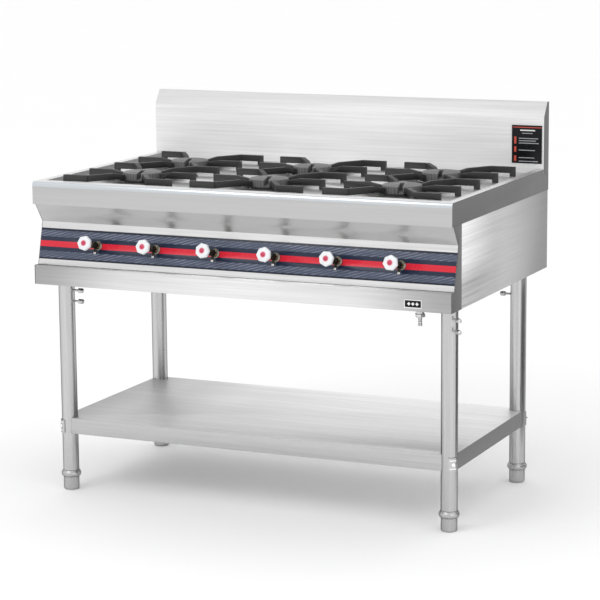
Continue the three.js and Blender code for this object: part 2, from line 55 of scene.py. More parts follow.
LEGS = ("front_left", "front_right", "back_left", "back_right")
COLUMNS = ("left", "centre", "right")
BODIES = frame["record"]["behaviour"]["bodies"]
BODY_OF = {node: body for body, nodes in BODIES.items() for node in nodes}
SLOT_OF = {part["node"]: part["material_slot"] for part in frame["record"]["subparts"]}
BURNERS = 2 * len(COLUMNS)

# ---------- places taken from the frame ----------
deck_low, deck_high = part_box("deck_top")
HALF_WIDTH = deck_high.x
APRON_FRONT = deck_low.y
RIM_TOP = deck_high.z
WELL_DEPTH = 13 * MM
WELL_FLOOR = RIM_TOP - WELL_DEPTH
NOSE_HEIGHT = 13 * MM  # of the deck's rolled front edge
NOSE_REACH = 8 * MM

grate_low, grate_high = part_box("grate_centre")
GRATE_BAR = 12 * MM
BAR_PITCH = (grate_high.y - grate_low.y - GRATE_BAR) / 4  # a burner stands one pitch from the middle
GRATE_MIDDLE = (grate_low.y + grate_high.y) / 2


def burner_centre(index):
    """The axis of a burner on the well floor. Burners go front, back in each column from the left."""
    low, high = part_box("grate_" + COLUMNS[index // 2])
    row = -1 if index % 2 == 0 else 1
    return Vector(((low.x + high.x) / 2, GRATE_MIDDLE + row * BAR_PITCH, WELL_FLOOR))


HINGE_OUT = 74 * MM  # a handwheel's joint point, out from the control panel


def valve_place(index):
    """A valve's own frame: origin on the control panel, +Z straight out of it."""
    joint = next(j for j in frame["joints"] if j["name"] == f"knob_{index + 1}_turn")
    out = Vector(joint["axis"]).normalized()
    right = Vector((1, 0, 0))
    up = out.cross(right)
    origin = Vector(joint["pos_m"]) - out * HINGE_OUT
    turn = Matrix((right, up, out)).transposed().to_4x4()
    return Matrix.Translation(origin) @ turn


def leg_axis(leg):
    low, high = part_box("leg_" + leg)
    return Vector(((low.x + high.x) / 2, (low.y + high.y) / 2, 0))


# ---------- materials ----------
class Surface:
    """A procedural material: a Principled shader, and short calls for the nodes that feed it."""

    def __init__(self, name, roughness, metallic=0.0):
        self.material = bpy.data.materials.new(name)
        self.material.use_nodes = True
        self.tree = self.material.node_tree
        self.shader = self.tree.nodes["Principled BSDF"]
        self.shader.inputs["Roughness"].default_value = roughness
        self.shader.inputs["Metallic"].default_value = metallic
        self.position = self.add("TexCoord").outputs["Object"]

    def add(self, kind, inputs=None, **settings):
        node = self.tree.nodes.new("ShaderNode" + kind)
        for key, value in settings.items():
            setattr(node, key, value)
        for key, value in (inputs or {}).items():
            node.inputs[key].default_value = value
        return node

    def join(self, output, target):
        self.tree.links.new(output, target)

    def noise(self, stretch, detail=3.0, shift=0.0):
        """Noise with this many features to the metre: one number, or one each along X, Y and Z."""
        if not isinstance(stretch, tuple):
            stretch = (stretch, stretch, stretch)
        mapping = self.add("Mapping", {"Scale": stretch, "Location": (shift, shift, shift)})
        self.join(self.position, mapping.inputs["Vector"])
        texture = self.add("TexNoise", {"Scale": 1.0, "Detail": detail, "Roughness": 0.6})
        self.join(mapping.outputs["Vector"], texture.inputs["Vector"])
        return texture.outputs["Fac"]

    def spread(self, value, low, high, from_low=0.3, from_high=0.7):
        """A value stretched to a new range. Most noise lies between 0.3 and 0.7."""
        node = self.add("MapRange", {"From Min": from_low, "From Max": from_high,
                                     "To Min": low, "To Max": high})
        self.join(value, node.inputs["Value"])
        return node.outputs["Result"]

    def math(self, operation, first, second=None):
        node = self.add("Math", operation=operation)
        for slot, value in enumerate((first, second)):
            if value is None:
                continue
            if isinstance(value, (int, float)):
                node.inputs[slot].default_value = value
            else:
                self.join(value, node.inputs[slot])
        return node.outputs["Value"]

    def blend(self, factor, first, second):
        """One colour at factor 0, the other at 1. A colour is (r, g, b) or another node's output."""
        node = self.add("Mix", data_type="RGBA")
        self.join(factor, node.inputs["Factor"])
        for target, value in ((node.inputs[6], first), (node.inputs[7], second)):
            if isinstance(value, tuple):
                target.default_value = (*value, 1)
            else:
                self.join(value, target)
        return node.outputs[2]

    def steps(self, axis, stops):
        """A grey that runs through (place, tone) steps along an axis, in metres."""
        parts = self.add("SeparateXYZ")
        self.join(self.position, parts.inputs["Vector"])
        start, end = stops[0][0], stops[-1][0]
        share = self.spread(parts.outputs[axis], 0, 1, start, end)
        tones = [((place - start) / (end - start), grey(tone)) for place, tone in stops]
        return self.ramp(share, tones, "EASE")

    def ramp(self, share, stops, interpolation):
        """The colour at a share from 0 to 1, from (share, colour) stops."""
        node = self.add("ValToRGB")
        node.color_ramp.interpolation = interpolation
        elements = node.color_ramp.elements
        while len(elements) < len(stops):
            elements.new(1.0)
        for element, (place, color) in zip(elements, stops):
            element.position = place
            element.color = (*color, 1)
        self.join(share, node.inputs["Fac"])
        return node.outputs["Color"]

    def scale(self, color, factor):
        """A colour made lighter or darker by a number."""
        node = self.add("VectorMath", operation="SCALE")
        if isinstance(color, tuple):
            node.inputs[0].default_value = color
        else:
            self.join(color, node.inputs[0])
        self.join(factor, node.inputs["Scale"])
        return node.outputs["Vector"]

    def color(self, output):
        self.join(output, self.shader.inputs["Base Color"])

    def rough(self, output):
        self.join(output, self.shader.inputs["Roughness"])

    def bump(self, height, depth, strength=0.3):
        node = self.add("Bump", {"Strength": strength, "Distance": depth})
        self.join(height, node.inputs["Height"])
        self.join(node.outputs["Normal"], self.shader.inputs["Normal"])


def grey(value, tint=0.0):
    """A linear grey, a little blue where tint is positive."""
    return (value * (1 - tint), value, value * (1 + tint))


FINE_GRAIN = 170.0  # brush marks to the metre, across them
COARSE_GRAIN = 28.0
GRAIN_DEPTH = 0.1 * MM
GRAIN_STRENGTH = 0.12


def brushed(name, tone, along, roughness=0.34, contrast=0.10, across=None, turned_grain=0.0,
            metallic=1.0):
    """Steel brushed along one axis (0, 1 or 2).

    tone is one number, or a tuple of (place, tone) steps along the axis named by across.
    turned_grain stretches the reflections across the brush marks.
    """
    surface = Surface(name, roughness, metallic)
    fine = [FINE_GRAIN] * 3
    fine[along] = 3.0
    coarse = [COARSE_GRAIN] * 3
    coarse[along] = 1.2
    grain = surface.noise(tuple(fine))
    cloud = surface.noise(tuple(coarse), detail=2.0, shift=5.0)
    steel = surface.steps(across, tone) if across is not None else grey(tone)
    streak = surface.spread(grain, 1 - contrast, 1 + contrast / 2)
    broad = surface.spread(cloud, 1 - contrast / 2, 1)
    surface.color(surface.scale(steel, surface.math("MULTIPLY", streak, broad)))
    surface.rough(surface.spread(grain, roughness - 0.06, roughness + 0.06))
    surface.bump(grain, GRAIN_DEPTH, GRAIN_STRENGTH)
    if turned_grain:
        surface.shader.inputs["Anisotropic"].default_value = turned_grain
        surface.shader.inputs["Anisotropic Rotation"].default_value = 0.25
    return surface.material


DARKEST_REACH = 95 * MM  # the well floor is darkest up to here from a burner's axis
DARKENING_END = 130 * MM
DARKENING_RAGGED = 10 * MM


def darkened_well():
    """The well floor: brushed steel, darker round each burner."""
    surface = Surface("steel_well", 0.4, metallic=1.0)
    grain = surface.noise((3.0, FINE_GRAIN, FINE_GRAIN))
    reach = None
    for index in range(BURNERS):
        node = surface.add("VectorMath", {1: burner_centre(index)}, operation="DISTANCE")
        surface.join(surface.position, node.inputs[0])
        distance = node.outputs["Value"]
        reach = distance if reach is None else surface.math("MINIMUM", reach, distance)
    patches = surface.noise(40.0, detail=4.0)
    ragged = surface.math("ADD", reach, surface.spread(patches, -DARKENING_RAGGED, DARKENING_RAGGED))
    beyond_darkening = surface.spread(ragged, 0, 1, DARKEST_REACH, DARKENING_END)
    steel = surface.scale(grey(0.76), surface.spread(grain, 0.9, 1.05))
    surface.color(surface.blend(beyond_darkening, grey(0.13), steel))
    surface.rough(surface.spread(beyond_darkening, 0.55, 0.38, 0, 1))
    surface.bump(grain, GRAIN_DEPTH, GRAIN_STRENGTH)
    return surface.material


def plain_sheet(name, tone):
    """Dull sheet: nearly one grey, with faint handling marks."""
    surface = Surface(name, 0.55, metallic=0.35)
    cloud = surface.noise(6.0, detail=4.0)
    surface.color(surface.blend(surface.spread(cloud, 0, 1), grey(tone * 0.95), grey(tone * 1.04)))
    surface.rough(surface.spread(cloud, 0.48, 0.62))
    surface.bump(surface.noise(500.0), 0.05 * MM, 0.1)
    return surface.material


def polished_edge(name, tone, tint):
    """The bright band where sheet is rolled over an edge."""
    surface = Surface(name, 0.22, metallic=1.0)
    grain = surface.noise((4.0, 120.0, 120.0))
    surface.color(surface.blend(surface.spread(grain, 0, 1), grey(tone * 0.96, tint), grey(tone, tint)))
    surface.rough(surface.spread(grain, 0.18, 0.26))
    return surface.material


def cast(name, tone, wear_tone, roughness, pits=420.0):
    """Cast iron: fine pits, uneven colour, and rubbed edges. pits is how many to the metre."""
    surface = Surface(name, roughness)
    surface.shader.inputs["Specular IOR Level"].default_value = 0.35
    cloud = surface.noise(30.0, detail=4.0)
    body = surface.blend(surface.spread(cloud, 0, 1), grey(tone * 0.75), grey(tone * 1.2))
    edge = surface.add("NewGeometry").outputs["Pointiness"]
    rubbed = surface.spread(edge, 0, 0.6, 0.52, 0.62)
    surface.color(surface.blend(rubbed, body, grey(wear_tone)))
    surface.rough(surface.spread(cloud, roughness - 0.1, roughness + 0.1))
    surface.bump(surface.noise(pits, detail=2.0), 0.3 * MM, 0.35)
    return surface.material


def machined(name, color, roughness):
    """Turned metal with fine tool marks and a dull film."""
    surface = Surface(name, roughness, metallic=1.0)
    film = surface.noise(90.0)
    dark = tuple(0.55 * part for part in color)
    surface.color(surface.blend(surface.spread(film, 0, 1), dark, color))
    surface.rough(surface.spread(film, roughness - 0.08, roughness + 0.12))
    surface.bump(surface.noise(1500.0), 0.05 * MM, 0.2)
    return surface.material


def moulded(name, color, gloss=0.3):
    """Moulded plastic: faint orange peel, and colour a little uneven with age."""
    roughness = 0.3
    surface = Surface(name, roughness)
    film = surface.noise(60.0)
    dim = tuple(0.9 * part for part in color)
    surface.color(surface.blend(surface.spread(film, 0, 1), dim, color))
    surface.rough(surface.spread(film, roughness - 0.05, roughness + 0.08))
    surface.bump(surface.noise(700.0), 0.05 * MM, 0.15)
    surface.shader.inputs["Coat Weight"].default_value = gloss
    surface.shader.inputs["Specular IOR Level"].default_value = 0.2 + gloss
    surface.shader.inputs["Coat Roughness"].default_value = 0.15
    return surface.material


NAVY = (0.012, 0.020, 0.045)
DARK_BORDER = (0.004, 0.008, 0.022)
HATCH_DARK = (0.055, 0.070, 0.110)
HATCH_LIGHT = (0.20, 0.21, 0.28)
STRIPE_RED = (0.62, 0.016, 0.036)

# Bands of the film, as shares of its height from the bottom.
LOWER_HATCH = (0.056, 0.269)
STRIPE = (0.402, 0.590)
UPPER_HATCH = (0.726, 0.937)
HATCH_RISE = 0.3  # how much a hatch line climbs along its length
HATCH_PITCH = 7 * MM  # from one line up to the next


def printed_film():
    """The control panel's film: dark edges, hatched bands, navy bands and a red stripe between them."""
    low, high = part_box("control_overlay")
    surface = Surface("printed_film", 0.28)
    parts = surface.add("SeparateXYZ")
    surface.join(surface.position, parts.inputs["Vector"])
    across = surface.spread(parts.outputs["Z"], 0, 1, low.z, high.z)
    climb = surface.math("MULTIPLY", parts.outputs["X"], HATCH_RISE)
    slant = surface.math("SUBTRACT", climb, parts.outputs["Z"])
    phase = surface.math("FRACT", surface.math("DIVIDE", slant, HATCH_PITCH))
    from_line = surface.math("ABSOLUTE", surface.math("SUBTRACT", phase, 0.5))
    length_noise = surface.noise((16.0, 90.0, 90.0))
    line = surface.math("MULTIPLY", surface.spread(from_line, 1, 0, 0.08, 0.24),
                        surface.spread(length_noise, 0.25, 1.0, 0.4, 0.6))
    hatch = surface.blend(line, HATCH_DARK, HATCH_LIGHT)
    stops = [(0.0, DARK_BORDER), (LOWER_HATCH[0], HATCH_DARK), (LOWER_HATCH[1], NAVY),
             (STRIPE[0], STRIPE_RED), (STRIPE[1], NAVY), (UPPER_HATCH[0], HATCH_DARK),
             (UPPER_HATCH[1], DARK_BORDER)]
    bands = surface.ramp(across, stops, "CONSTANT")

    def band(low_share, high_share):
        above = surface.math("GREATER_THAN", across, low_share)
        below = surface.math("LESS_THAN", across, high_share)
        return surface.math("MULTIPLY", above, below)

    hatched = surface.math("ADD", band(*LOWER_HATCH), band(*UPPER_HATCH))
    surface.color(surface.blend(hatched, bands, hatch))
    film = surface.noise(25.0)
    surface.rough(surface.spread(film, 0.22, 0.34))
    surface.shader.inputs["Specular IOR Level"].default_value = 0.35
    return surface.material


def over_width(*stops):
    """(share of the half width, tone) steps, as the (place, tone) steps of a sheet."""
    return tuple((share * HALF_WIDTH, tone) for share, tone in stops)


# The apron's grey is darker than the well floor's: painted shade.
STEEL_FRONT = brushed("steel_front", 0.53, along=0, roughness=0.42, contrast=0.05)
STEEL_STRIP = brushed("steel_strip", 0.74, along=0)
# The recess under the apron is a darker grey than the strip round the film: painted shade.
STEEL_RECESS = brushed("steel_recess", 0.53, along=0, contrast=0.05, turned_grain=0.95)
# Painted highlight across the middle of the fascia, and painted shade towards both ends.
STEEL_FASCIA = brushed(
    "steel_fascia", over_width((-1, 0.40), (-0.5, 0.74), (0, 0.82), (0.5, 0.76), (1, 0.40)),
    along=0, across=0)
# Painted highlight across the backsplash's middle, and painted shade towards both ends.
STEEL_BACKSPLASH = brushed(
    "steel_backsplash", over_width((-1, 0.80), (0, 0.96), (1, 0.78)),
    along=0, across=0, roughness=0.6, metallic=0.12)
# The sloping top is a darker grey than the face: painted shade.
STEEL_BACKSPLASH_TOP = brushed("steel_backsplash_top", 0.69, along=0, roughness=0.5)
STEEL_WELL = darkened_well()
# Painted light and shade: the side panels are lightest at the front and darken towards the back.
STEEL_SIDE = brushed(
    "steel_side", ((deck_low.y, 0.98), (0, 0.54), (deck_high.y, 0.24)),
    along=1, across=1, contrast=0.16, metallic=0.75)
# Painted shade: the shelf top darkens towards its left end.
STEEL_SHELF = brushed(
    "steel_shelf", over_width((-1, 0.45), (-0.7, 0.66), (-1 / 3, 0.88), (1 / 6, 0.96), (1, 0.92)),
    along=0, across=0, roughness=0.45, contrast=0.16)
STEEL_BACK = brushed("steel_back", 0.50, along=0, roughness=0.4, contrast=0.14)
# The shelf's front lip is a darker grey than its top: painted shade.
STEEL_SHELF_FRONT = brushed("steel_shelf_front", 0.55, along=0, roughness=0.4)
STEEL_TUBE = brushed("steel_tube", 0.58, along=2, roughness=0.26, contrast=0.14)
STEEL_FOOT = brushed("steel_foot", 0.50, along=2, roughness=0.3, contrast=0.06)
# A dark grey edge tint on the reflections: painted shade along the tubes' edges.
for tube_steel in (STEEL_TUBE, STEEL_FOOT):  # round tubes darken at their edges
    tube_shader = tube_steel.node_tree.nodes["Principled BSDF"]
    tube_shader.inputs["Specular Tint"].default_value = (*grey(0.12), 1)
# The same steel as the fronts, made near black for the ends of the deck and backsplash and for the end caps:
# painted shade.
STEEL_SHADED_ENDS = plain_sheet("steel_shaded_ends", 0.13)
# The shelf's ends are near black: painted shade.
STEEL_SHELF_SHADED_SIDE = plain_sheet("steel_shelf_shaded_side", 0.19)
STEEL_NOSE = polished_edge("steel_nose", 0.64, 0.05)
STEEL_HARDWARE = machined("steel_hardware", (0.78, 0.78, 0.78), 0.25)
# Near-white polished steel for the clamps' beads and bolt heads: a painted highlight.
STEEL_BEAD_GLINT = polished_edge("steel_bead_glint", 0.92, 0.0)
PIPE_PAINT = plain_sheet("pipe_paint", 0.22)
IRON_GRATE = cast("iron_grate", 0.014, 0.07, 0.5)
IRON_BURNER = cast("iron_burner", 0.13, 0.30, 0.5, pits=300.0)
BRASS = machined("valve_brass", (0.45, 0.36, 0.18), 0.35)
FLANGE_METAL = machined("valve_flange", (0.30, 0.28, 0.24), 0.35)
# Near black, for the valve's nuts and its nipple tube.
VALVE_NEAR_BLACK = machined("valve_dark", (0.05, 0.048, 0.035), 0.4)
KNOB_WHITE = moulded("knob_white", (0.76, 0.78, 0.80))
KNOB_RED = moulded("knob_red", (0.50, 0.02, 0.07))
KNOB_PINK = moulded("knob_pink", (0.75, 0.30, 0.38))
KNOB_DARK = moulded("knob_dark", (0.012, 0.013, 0.016), gloss=0.0)
FILM = printed_film()
PLATE_BLACK = moulded("plate_black", (0.004, 0.004, 0.006), gloss=0.0)
PRINT_WHITE = moulded("print_white", (0.78, 0.78, 0.78))
PRINT_GREY = moulded("print_grey", (0.32, 0.33, 0.34))
PRINT_ORANGE = moulded("print_orange", (0.55, 0.07, 0.04))


# ---------- mesh code ----------
SMOOTH_UNDER = math.radians(35)


def new_object(name, mesh):
    """Turns mesh code into an object of the scene."""
    data = bpy.data.meshes.new(name)
    mesh.to_mesh(data)
    mesh.free()
    made = bpy.data.objects.new(name, data)
    bpy.context.scene.collection.objects.link(made)
    return made


def finish_piece(name, mesh, materials, body, nodes=(), slot=None):
    """Turns mesh code into a shown piece that rides on a body and may stand for CAD nodes."""
    bmesh.ops.recalc_face_normals(mesh, faces=mesh.faces)
    piece = new_object(name, mesh)
    for material in materials:
        piece.data.materials.append(material)
    piece.data.shade_smooth()
    piece.data.set_sharp_from_angle(angle=SMOOTH_UNDER)
    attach(piece, body)
    if nodes:
        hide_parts(*nodes)
    slot or SLOT_OF[nodes[0]]


def in_mm(profile):
    """A profile written in millimetres, as metres."""
    return [(radius * MM, height * MM) for radius, height in profile]


def add_turned(mesh, profile, place, sides=48, material=0, outline=None):
    """Adds a turned solid. profile is (radius, height) from the axis back to the axis, in metres.

    outline(angle, radius) gives the real radius, for lobes and flutes.
    """
    rings = []
    for radius, height in profile:
        if radius < 1e-9:
            rings.append([mesh.verts.new(place @ Vector((0, 0, height)))])
            continue
        ring = []
        for step in range(sides):
            angle = 2 * math.pi * step / sides
            reach = outline(angle, radius) if outline else radius
            spot = Vector((reach * math.cos(angle), reach * math.sin(angle), height))
            ring.append(mesh.verts.new(place @ spot))
        rings.append(ring)
    for low, high in zip(rings, rings[1:]):
        for step in range(sides):
            after = (step + 1) % sides
            corners = [low[step % len(low)], low[after % len(low)],
                       high[after % len(high)], high[step % len(high)]]
            unique = list(dict.fromkeys(corners))  # a ring on the axis is one point
            if len(unique) > 2:
                mesh.faces.new(unique).material_index = material


def add_block(mesh, low, high, place=Matrix(), material=0):
    """Adds a box between two corners."""
    corners = [mesh.verts.new(place @ Vector((x, y, z)))
               for x in (low[0], high[0]) for y in (low[1], high[1]) for z in (low[2], high[2])]
    sides = ((0, 1, 3, 2), (4, 6, 7, 5), (0, 4, 5, 1), (2, 3, 7, 6), (0, 2, 6, 4), (1, 5, 7, 3))
    for side in sides:
        mesh.faces.new([corners[k] for k in side]).material_index = material


def round_corners(points, radius):
    """A profile with each inner point replaced by a short curve."""
    steps = 3
    result = [points[0]]
    for before, corner, after in zip(points, points[1:], points[2:]):
        corner_v = Vector(corner)
        arms = []
        for other in (Vector(before), Vector(after)):
            arm = other - corner_v
            arms.append(corner_v + arm.normalized() * min(radius, arm.length * 0.45))
        for step in range(steps + 1):
            t = step / steps
            spot = arms[0] * (1 - t) ** 2 + corner_v * 2 * t * (1 - t) + arms[1] * t ** 2
            result.append(tuple(spot))
    result.append(points[-1])
    return result


def dress(node, bevel, materials, choose=lambda normal, centre: 0, segments=2):
    """Stands a new piece in for a CAD sheet or casting: the same shape with its edges rounded.

    choose(normal, centre) picks each face's material.
    """
    mesh = bmesh.new()
    mesh.from_mesh(frame["nodes"][node].data)
    bmesh.ops.remove_doubles(mesh, verts=mesh.verts, dist=0.01 * MM)
    flat = math.radians(1)
    fold = math.radians(25)
    bmesh.ops.dissolve_limit(mesh, angle_limit=flat, verts=mesh.verts, edges=mesh.edges, delimit=set())
    mesh.normal_update()
    sharp = [edge for edge in mesh.edges
             if len(edge.link_faces) == 2 and edge.calc_face_angle() > fold]
    bmesh.ops.bevel(mesh, geom=sharp, offset=bevel, segments=segments, affect="EDGES",
                    profile=0.5, clamp_overlap=True)
    mesh.normal_update()
    for face in mesh.faces:
        face.material_index = choose(face.normal, face.calc_center_median())
    finish_piece(node + "_skin", mesh, materials, BODY_OF[node], nodes=(node,))


# ---------- sheet metal ----------
FACING = 0.7  # a face looks along an axis if its normal has this much of it


def make_deck():
    nose, shaded_end, well, front = range(4)
    outside = HALF_WIDTH - 3 * MM

    # Painted shade: the apron is greyer than the well floor, and the deck's ends are near black.
    def choose(normal, centre):
        if abs(normal.x) > FACING and abs(centre.x) > outside:
            return shaded_end
        if centre.y < APRON_FRONT + NOSE_REACH and centre.z > RIM_TOP - NOSE_HEIGHT:
            return nose
        if normal.z > FACING:
            return well
        return front

    dress("deck_top", 0.8 * MM, [STEEL_NOSE, STEEL_SHADED_ENDS, STEEL_WELL, STEEL_FRONT], choose, segments=3)


def make_backsplash():
    face, side, top = range(3)

    def choose(normal, centre):
        if abs(normal.x) > FACING:
            return side
        slopes = normal.z > 0.1 and normal.y < 0
        return top if slopes else face

    # Painted shade: the backsplash's ends take the near-black steel, and its sloping top a darker grey.
    dress("backsplash", 1.0 * MM, [STEEL_BACKSPLASH, STEEL_SHADED_ENDS, STEEL_BACKSPLASH_TOP], choose, segments=3)


def make_shelf():
    top, front, side = range(3)

    def choose(normal, centre):
        if abs(normal.x) > FACING:
            return side
        return front if abs(normal.y) > FACING else top

    # Painted shade: the front lip and the ends take darker greys than the top.
    dress("shelf", 1.2 * MM, [STEEL_SHELF, STEEL_SHELF_FRONT, STEEL_SHELF_SHADED_SIDE], choose, segments=3)


def make_panels():
    for side in ("left", "right"):
        dress(side + "_side_panel", 0.6 * MM, [STEEL_SIDE])
        # The end caps take the near-black steel: painted shade.
        dress(side + "_end_cap", 0.4 * MM, [STEEL_SHADED_ENDS])
    recess, strip = range(2)
    slope_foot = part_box("control_overlay")[1].z + 10 * MM  # the strip round the film ends below this
    # Painted shade: the recess under the apron takes the darker grey.
    dress("control_panel", 0.5 * MM, [STEEL_RECESS, STEEL_STRIP],
          lambda normal, centre: recess if centre.z > slope_foot else strip)
    dress("lower_fascia", 0.9 * MM, [STEEL_FASCIA], segments=3)
    dress("back_panel", 0.6 * MM, [STEEL_BACK])
    dress("control_overlay", 0.15 * MM, [FILM])


# ---------- plates ----------
PRINT_DEPTH = 0.15 * MM


def make_notice():
    """A dark plate with a plain border, a stripe, three pills and plain bars."""
    dress("notice_plate", 0.25 * MM, [PLATE_BLACK])
    low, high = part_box("notice_plate")
    width, height = high.x - low.x, high.z - low.z
    white, orange, pale = range(3)
    mesh = bmesh.new()

    def mark(x0, x1, z0, z1, material):
        """A printed bar, placed by its share of the plate's width and height."""
        add_block(mesh, (low.x + x0 * width, low.y - PRINT_DEPTH, low.z + z0 * height),
                  (low.x + x1 * width, low.y, low.z + z1 * height), material=material)

    border = 0.014
    mark(0, 1, 0, border, white)
    mark(0, 1, 1 - border, 1, white)
    mark(0, border, border, 1 - border, white)
    mark(1 - border, 1, border, 1 - border, white)
    mark(0.04, 0.96, 0.92, 0.94, orange)
    mark(0.28, 0.76, 0.84, 0.87, white)
    mark(0.34, 0.68, 0.77, 0.79, pale)
    for centre, half in ((0.60, 0.09), (0.37, 0.07), (0.14, 0.07)):
        mark(0.09, 0.16, centre - half, centre + half, orange)
    bars = ((0.65, 0.62), (0.59, 0.55), (0.53, 0.64), (0.35, 0.52), (0.16, 0.50), (0.07, 0.62))
    bar_start, half_bar = 0.24, 0.011
    for centre, length in bars:
        mark(bar_start, bar_start + length, centre - half_bar, centre + half_bar, pale)
    finish_piece("notice_print", mesh, [PRINT_WHITE, PRINT_ORANGE, PRINT_GREY], "stove", slot="notice")


def make_badge():
    """A small dark plate with a light border and three plain diamonds."""
    dress("badge_plate", 0.25 * MM, [PLATE_BLACK])
    low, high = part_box("badge_plate")
    border = 2.2 * MM
    mesh = bmesh.new()
    for z0, z1 in ((low.z, low.z + border), (high.z - border, high.z)):
        add_block(mesh, (low.x, low.y - PRINT_DEPTH, z0), (high.x, low.y, z1))
    for x0, x1 in ((low.x, low.x + border), (high.x - border, high.x)):
        add_block(mesh, (x0, low.y - PRINT_DEPTH, low.z + border), (x1, low.y, high.z - border))
    middle = (low + high) / 2
    half_diamond = 3.2 * MM
    diamond_pitch = 11 * MM
    for step in (-1, 0, 1):
        centre = Vector((middle.x + step * diamond_pitch, low.y, middle.z))
        turn = Matrix.Translation(centre) @ Matrix.Rotation(math.radians(45), 4, "Y")
        add_block(mesh, (-half_diamond, -PRINT_DEPTH, -half_diamond), (half_diamond, 0, half_diamond), turn)
    finish_piece("badge_print", mesh, [PRINT_WHITE], "stove", slot="badge")


# ---------- burners and grates ----------
CROWN_RADIUS = 53 * MM
CROWN_TOP = 24 * MM  # above the well floor
CROWN_FOOT = 8 * MM  # below it
CROWN_BOSS = 1 * MM  # how far the crown's middle stands above its top
FLUTES = 36
FLUTE_DEPTH = 1.5 * MM
SLOT_TURN = math.radians(17)
SLOT_HALF_WIDTH = 6 * MM
SLOT_DEPTH = 17 * MM
SLOT_PAST_AXIS = 20 * MM


def fluted(angle, radius):
    """A burner crown's ribbed wall. Only the rim is ribbed."""
    if radius < CROWN_RADIUS - 0.5 * MM:
        return radius
    return radius - FLUTE_DEPTH * (0.5 + 0.5 * math.cos(FLUTES * angle))


def burner_crown(index):
    """A burner's fluted crown with its slot cut out."""
    place = Matrix.Translation(burner_centre(index))
    rim, top = CROWN_RADIUS, CROWN_TOP
    profile = [(0, -CROWN_FOOT), (rim - 7 * MM, -CROWN_FOOT), (rim - 0.1 * MM, 1 * MM), (rim, 2 * MM),
               (rim, top - 3 * MM), (rim - 1 * MM, top - 1 * MM), (rim - 3 * MM, top),
               (22 * MM, top), (20 * MM, top + 0.8 * CROWN_BOSS), (0, top + CROWN_BOSS)]
    mesh = bmesh.new()
    add_turned(mesh, profile, place, sides=FLUTES * 6, outline=fluted)
    crown = new_object("crown", mesh)
    knife_mesh = bmesh.new()
    clear = 10 * MM  # the knife reaches past the crown
    add_block(knife_mesh, (-SLOT_HALF_WIDTH, -rim - clear, top - SLOT_DEPTH),
              (SLOT_HALF_WIDTH, SLOT_PAST_AXIS, top + clear), place @ Matrix.Rotation(SLOT_TURN, 4, "Z"))
    bmesh.ops.recalc_face_normals(knife_mesh, faces=knife_mesh.faces)
    knife = new_object("knife", knife_mesh)
    cutter = crown.modifiers.new("slot", "BOOLEAN")
    cutter.operation = "DIFFERENCE"
    cutter.solver = "EXACT"
    cutter.object = knife
    bpy.context.view_layer.update()
    evaluated = crown.evaluated_get(bpy.context.evaluated_depsgraph_get())
    result = bmesh.new()
    result.from_mesh(evaluated.to_mesh())
    evaluated.to_mesh_clear()
    for scratch in (crown, knife):
        bpy.data.objects.remove(scratch)
    return result


def make_burners():
    """Each crown is new; the rest of the casting is the CAD shape below the crown's foot."""
    cut_height = WELL_FLOOR - CROWN_FOOT - 0.2 * MM
    for index in range(BURNERS):
        node = f"burner_{index + 1}"
        finish_piece(node + "_crown", burner_crown(index), [IRON_BURNER], "stove", nodes=(node,))
        below = bmesh.new()
        below.from_mesh(frame["nodes"][node].data)
        bmesh.ops.remove_doubles(below, verts=below.verts, dist=0.01 * MM)
        whole = below.verts[:] + below.edges[:] + below.faces[:]
        cut = bmesh.ops.bisect_plane(below, geom=whole, plane_co=(0, 0, cut_height), plane_no=(0, 0, 1),
                                     clear_outer=True)
        rim = [part for part in cut["geom_cut"] if isinstance(part, bmesh.types.BMEdge)]
        bmesh.ops.holes_fill(below, edges=rim, sides=0)
        finish_piece(node + "_tube", below, [IRON_BURNER], "stove", slot=SLOT_OF[node])


def make_grates():
    for column in COLUMNS:
        dress("grate_" + column, 1.3 * MM, [IRON_GRATE], segments=2)


# ---------- valves and handwheels ----------
WHEEL_RADIUS = 20.2 * MM
SCALLOPS = 7
SCALLOP_DEPTH = 1.9 * MM
KNOB_TURNS = (26, 23, 1, 30, 12, 36)  # degrees, as the handwheels were left

# Heights in the profiles of handwheels and valves are out from the control panel.


def scalloped(angle, radius):
    """A handwheel's outline: seven scallops at the rim, round at the hub."""
    share = min(radius / WHEEL_RADIUS, 1.0)
    return radius - share ** 4 * SCALLOP_DEPTH * abs(math.sin(SCALLOPS / 2 * angle))


def make_knob(index):
    """A spindle, a dark hub and a white scalloped wheel with a pink and red middle."""
    place = valve_place(index) @ Matrix.Rotation(math.radians(KNOB_TURNS[index]), 4, "Z")
    mesh = bmesh.new()
    white, red, pink, dark, steel = range(5)

    def turned(profile, sides, material, outline=None):
        add_turned(mesh, in_mm(profile), place, sides, material, outline)

    turned([(0, 25), (4, 25), (4, 60), (0, 60)], 24, steel)
    turned([(0, 52), (10, 52), (11, 53), (12.4, 69), (12.4, 71), (0, 71)], 40, dark)
    rim = WHEEL_RADIUS / MM
    turned([(0, 70), (14, 70.4), (rim - 1, 71), (rim, 72.8), (rim, 77.4), (rim - 0.8, 80), (rim - 3, 81.5),
            (10, 82), (0, 82)], 112, white, scalloped)
    turned([(0, 81.5), (8, 81.5), (8, 82.2), (7.6, 82.5), (0, 82.5)], 36, pink)
    turned([(0, 82), (6, 82), (6, 82.9), (5.4, 83.4), (3, 83.8), (0, 84)], 36, red)
    node = f"knob_{index + 1}"
    finish_piece(node + "_wheel", mesh, [KNOB_WHITE, KNOB_RED, KNOB_PINK, KNOB_DARK, STEEL_HARDWARE],
                 BODY_OF[node], nodes=(node,))


